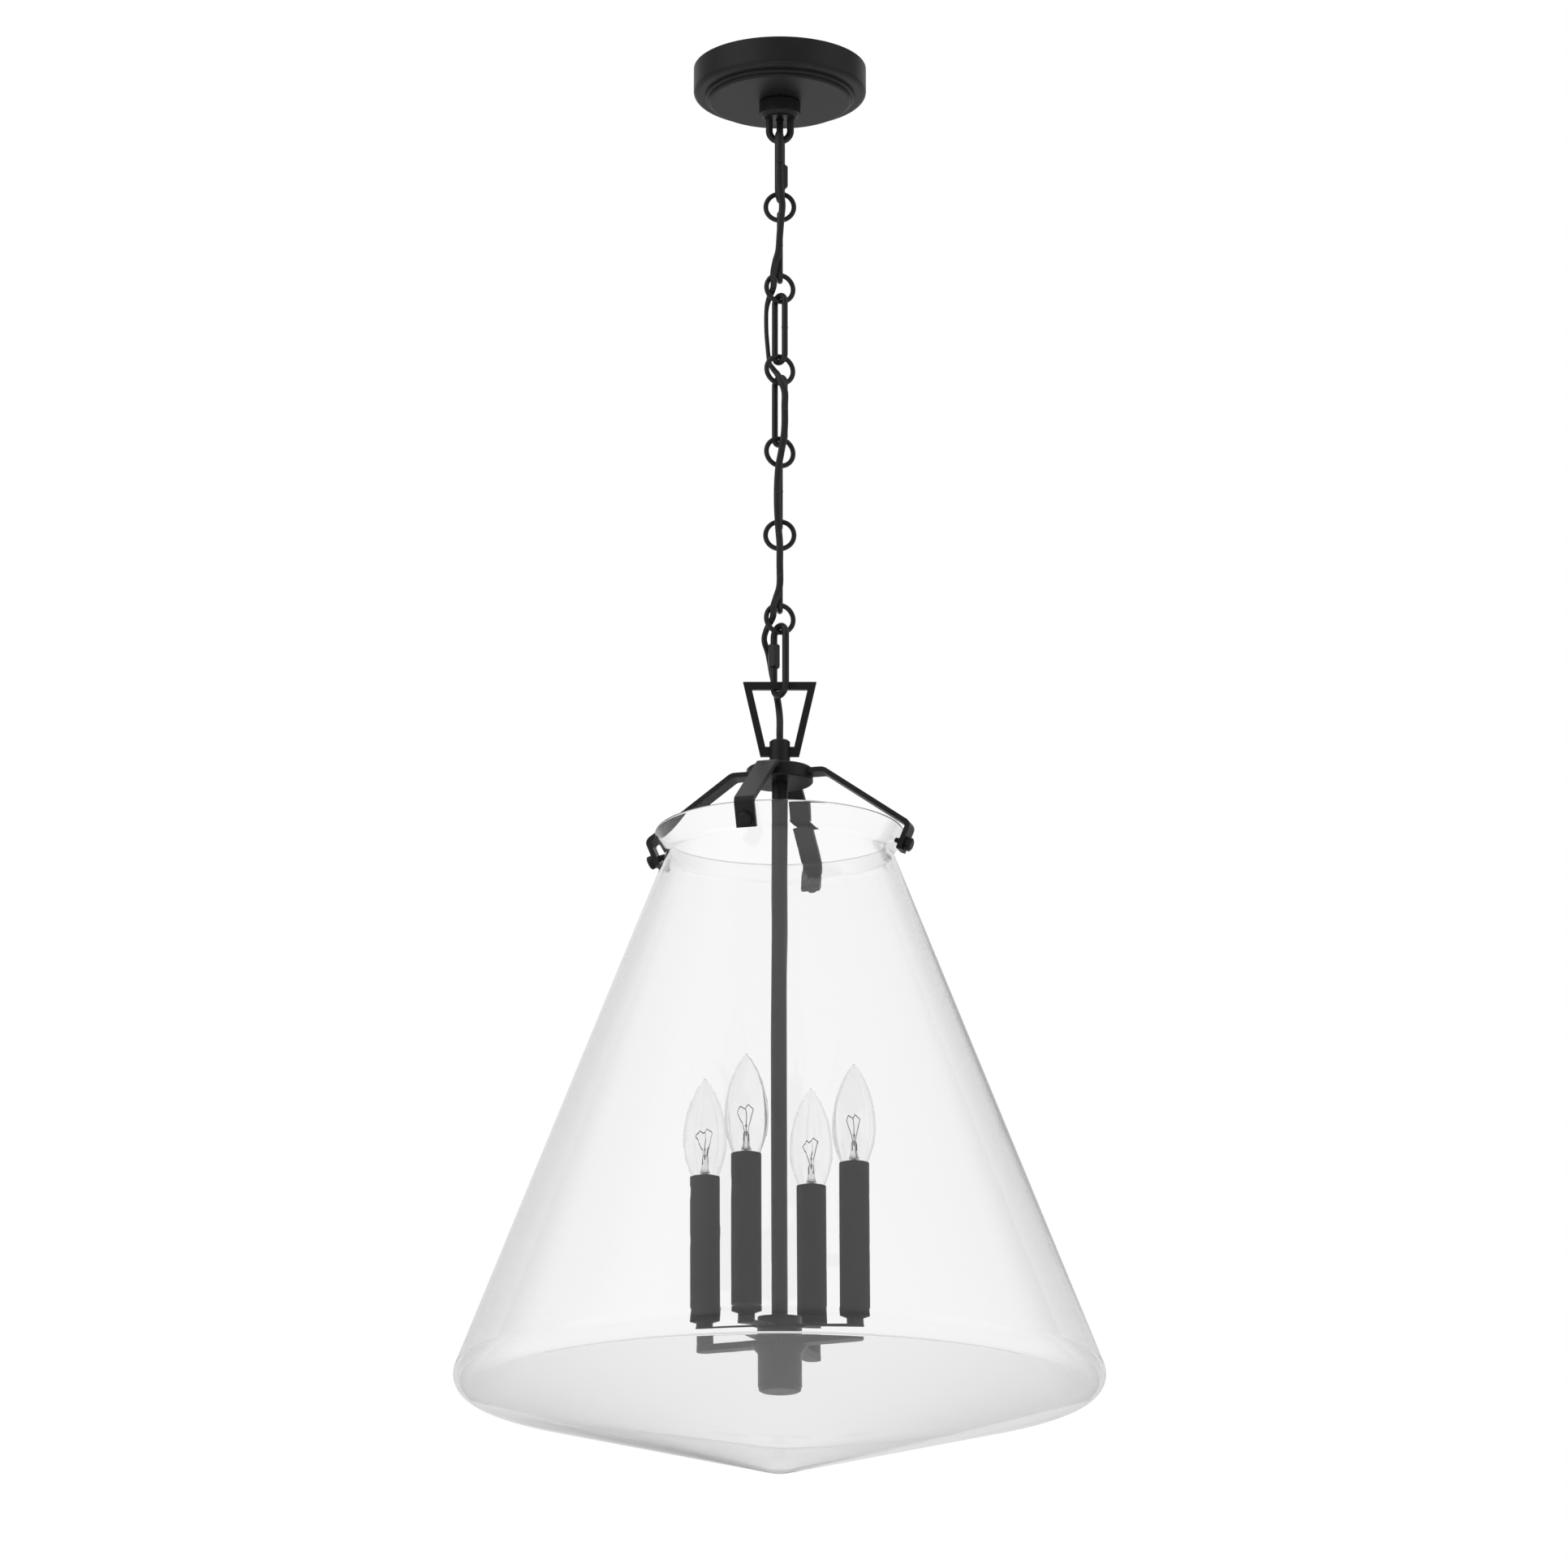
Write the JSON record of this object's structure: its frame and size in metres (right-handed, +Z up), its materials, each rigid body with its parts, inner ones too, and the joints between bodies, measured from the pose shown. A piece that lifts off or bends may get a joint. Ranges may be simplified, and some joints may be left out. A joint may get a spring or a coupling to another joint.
{
  "type": "hanging lantern",
  "caption": "Hanging lantern: flared clear glass shade held by arms on a stem with candle lamps inside, on a ring-and-link chain from a round ceiling canopy",
  "frame": {"origin": "on the lantern's axis, in the ceiling plane that the crossbar and the canopy's rim meet", "axes": "+Z is up along the axis, and the lantern hangs down in -Z; the hanger, the canopy loop and the face-on rings lie in the XZ plane, and the front is -Y"},
  "size_m": [0.508, 0.508, 1.173],
  "materials": {
    "black_metal": "satin powder coat",
    "chain_metal": "satin powder coat",
    "candle_cover": "matt",
    "shade_glass": "clear",
    "lamp_glass": "clear",
    "plated_steel": "zinc plated",
    "brass": "satin",
    "cord_jacket": "matt vinyl",
    "splice_plastic": "moulded",
    "socket_phenolic": "moulded",
    "ground_green": "plated"
  },
  "bodies": {
    "ceiling_fitting": {"crossbar": "plated_steel", "nipple": "brass", "nipple_nuts": "plated_steel", "ground_screw": "ground_green", "canopy_splices": "splice_plastic", "canopy_loop": "chain_metal", "supply_cord": "cord_jacket"},
    "canopy_set": {"canopy": "black_metal", "screw_collar": "black_metal"},
    "quick_link_top": {"quick_link_top": "chain_metal"},
    "quick_sleeve_top": {"quick_sleeve_top": "chain_metal"},
    "ring_1": {"ring_1": "chain_metal"},
    "ring_2": {"ring_2": "chain_metal"},
    "ring_3": {"ring_3": "chain_metal"},
    "ring_4": {"ring_4": "chain_metal"},
    "ring_5": {"ring_5": "chain_metal"},
    "ring_6": {"ring_6": "chain_metal"},
    "link_1": {"link_1": "chain_metal"},
    "link_2": {"link_2": "chain_metal"},
    "link_3": {"link_3": "chain_metal"},
    "link_4": {"link_4": "chain_metal"},
    "link_5": {"link_5": "chain_metal"},
    "quick_link_bottom": {"quick_link_bottom": "chain_metal"},
    "quick_sleeve_bottom": {"quick_sleeve_bottom": "chain_metal"},
    "lantern": {"hanger": "black_metal", "hub_cap": "black_metal", "cord_bushing": "cord_jacket", "hub_disc": "black_metal", "arm_front": "black_metal", "arm_right": "black_metal", "arm_rear": "black_metal", "arm_left": "black_metal", "glass_shade": "shade_glass", "stem": "black_metal", "stem_locknut": "plated_steel", "cluster_body": "black_metal", "lamp_posts": "black_metal", "cluster_cover": "black_metal", "hub_splices": "splice_plastic", "candle_sleeve_1": "candle_cover", "candle_sleeve_2": "candle_cover", "candle_sleeve_3": "candle_cover", "candle_sleeve_4": "candle_cover", "lamp_sockets": "socket_phenolic", "socket_shells": "brass", "lamp_leads": "cord_jacket"},
    "clamp_screw_front": {"clamp_screw_front": "black_metal"},
    "clamp_screw_right": {"clamp_screw_right": "black_metal"},
    "clamp_screw_rear": {"clamp_screw_rear": "black_metal"},
    "clamp_screw_left": {"clamp_screw_left": "black_metal"},
    "lamp_1": {"lamp_glass_1": "lamp_glass", "lamp_base_1": "plated_steel"},
    "lamp_2": {"lamp_glass_2": "lamp_glass", "lamp_base_2": "plated_steel"},
    "lamp_3": {"lamp_glass_3": "lamp_glass", "lamp_base_3": "plated_steel"},
    "lamp_4": {"lamp_glass_4": "lamp_glass", "lamp_base_4": "plated_steel"}
  },
  "joints": [
    {"name": "canopy_drop", "type": "slide", "parent": "ceiling_fitting", "child": "canopy_set", "axis": [0, 0, -1], "range_m": [0, 0.02]},
    {"name": "quick_link_top_swing", "type": "hinge", "parent": "ceiling_fitting", "child": "quick_link_top", "pos_m": [0, 0, -0.0632], "axis": [1, 0, 0], "range_deg": [-10, 10], "deforming": ["supply_cord"]},
    {"name": "quick_sleeve_top_screw", "type": "slide", "parent": "quick_link_top", "child": "quick_sleeve_top", "axis": [0, 0, -1], "range_m": [0, 0.006]},
    {"name": "ring_1_swing", "type": "hinge", "parent": "quick_link_top", "child": "ring_1", "pos_m": [0, 0, -0.1149], "axis": [-0.1736, -0.9848, 0], "range_deg": [-10, 10], "deforming": ["supply_cord"]},
    {"name": "link_1_swing", "type": "hinge", "parent": "ring_1", "child": "link_1", "pos_m": [0, 0, -0.1328], "axis": [1, 0, 0], "range_deg": [-10, 10], "deforming": ["supply_cord"]},
    {"name": "ring_2_swing", "type": "hinge", "parent": "link_1", "child": "ring_2", "pos_m": [0, 0, -0.1853], "axis": [0, -1, 0], "range_deg": [-10, 10], "deforming": ["supply_cord"]},
    {"name": "link_2_swing", "type": "hinge", "parent": "ring_2", "child": "link_2", "pos_m": [0, 0, -0.2035], "axis": [0.9397, 0.342, 0], "range_deg": [-10, 10], "deforming": ["supply_cord"]},
    {"name": "ring_3_swing", "type": "hinge", "parent": "link_2", "child": "ring_3", "pos_m": [0, 0, -0.256], "axis": [0.6691, -0.7431, 0], "range_deg": [-10, 10], "deforming": ["supply_cord"]},
    {"name": "link_3_swing", "type": "hinge", "parent": "ring_3", "child": "link_3", "pos_m": [0, 0, -0.2742], "axis": [0.9272, 0.3746, 0], "range_deg": [-10, 10], "deforming": ["supply_cord"]},
    {"name": "ring_4_swing", "type": "hinge", "parent": "link_3", "child": "ring_4", "pos_m": [0, 0, -0.3267], "axis": [0.6691, -0.7431, 0], "range_deg": [-10, 10], "deforming": ["supply_cord"]},
    {"name": "link_4_swing", "type": "hinge", "parent": "ring_4", "child": "link_4", "pos_m": [0, 0, -0.3449], "axis": [0.9397, 0.342, 0], "range_deg": [-10, 10], "deforming": ["supply_cord"]},
    {"name": "ring_5_swing", "type": "hinge", "parent": "link_4", "child": "ring_5", "pos_m": [0, 0, -0.3974], "axis": [0, -1, 0], "range_deg": [-10, 10], "deforming": ["supply_cord"]},
    {"name": "link_5_swing", "type": "hinge", "parent": "ring_5", "child": "link_5", "pos_m": [0, 0, -0.4156], "axis": [1, 0, 0], "range_deg": [-10, 10], "deforming": ["supply_cord"]},
    {"name": "ring_6_swing", "type": "hinge", "parent": "link_5", "child": "ring_6", "pos_m": [0, 0, -0.4681], "axis": [0, -1, 0], "range_deg": [-10, 10], "deforming": ["supply_cord"]},
    {"name": "quick_link_bottom_swing", "type": "hinge", "parent": "ring_6", "child": "quick_link_bottom", "pos_m": [0, 0, -0.4863], "axis": [0.9397, 0.342, 0], "range_deg": [-10, 10], "deforming": ["supply_cord"]},
    {"name": "quick_sleeve_bottom_screw", "type": "slide", "parent": "quick_link_bottom", "child": "quick_sleeve_bottom", "axis": [0, 0, 1], "range_m": [0, 0.006]},
    {"name": "lantern_swing", "type": "hinge", "parent": "quick_link_bottom", "child": "lantern", "pos_m": [0, 0, -0.5389], "axis": [0.5736, -0.8192, 0], "range_deg": [-10, 10], "deforming": ["supply_cord"]},
    {"name": "clamp_screw_front_back_out", "type": "slide", "parent": "lantern", "child": "clamp_screw_front", "axis": [-0.2391, -0.8924, -0.3827], "range_m": [0, 0.008]},
    {"name": "clamp_screw_right_back_out", "type": "slide", "parent": "lantern", "child": "clamp_screw_right", "axis": [0.8924, -0.2391, -0.3827], "range_m": [0, 0.008]},
    {"name": "clamp_screw_rear_back_out", "type": "slide", "parent": "lantern", "child": "clamp_screw_rear", "axis": [0.2391, 0.8924, -0.3827], "range_m": [0, 0.008]},
    {"name": "clamp_screw_left_back_out", "type": "slide", "parent": "lantern", "child": "clamp_screw_left", "axis": [-0.8924, 0.2391, -0.3827], "range_m": [0, 0.008]},
    {"name": "lamp_1_unscrew", "type": "slide", "parent": "lantern", "child": "lamp_1", "axis": [0, 0, 1], "range_m": [0, 0.024]},
    {"name": "lamp_2_unscrew", "type": "slide", "parent": "lantern", "child": "lamp_2", "axis": [0, 0, 1], "range_m": [0, 0.024]},
    {"name": "lamp_3_unscrew", "type": "slide", "parent": "lantern", "child": "lamp_3", "axis": [0, 0, 1], "range_m": [0, 0.024]},
    {"name": "lamp_4_unscrew", "type": "slide", "parent": "lantern", "child": "lamp_4", "axis": [0, 0, 1], "range_m": [0, 0.024]}
  ]
}
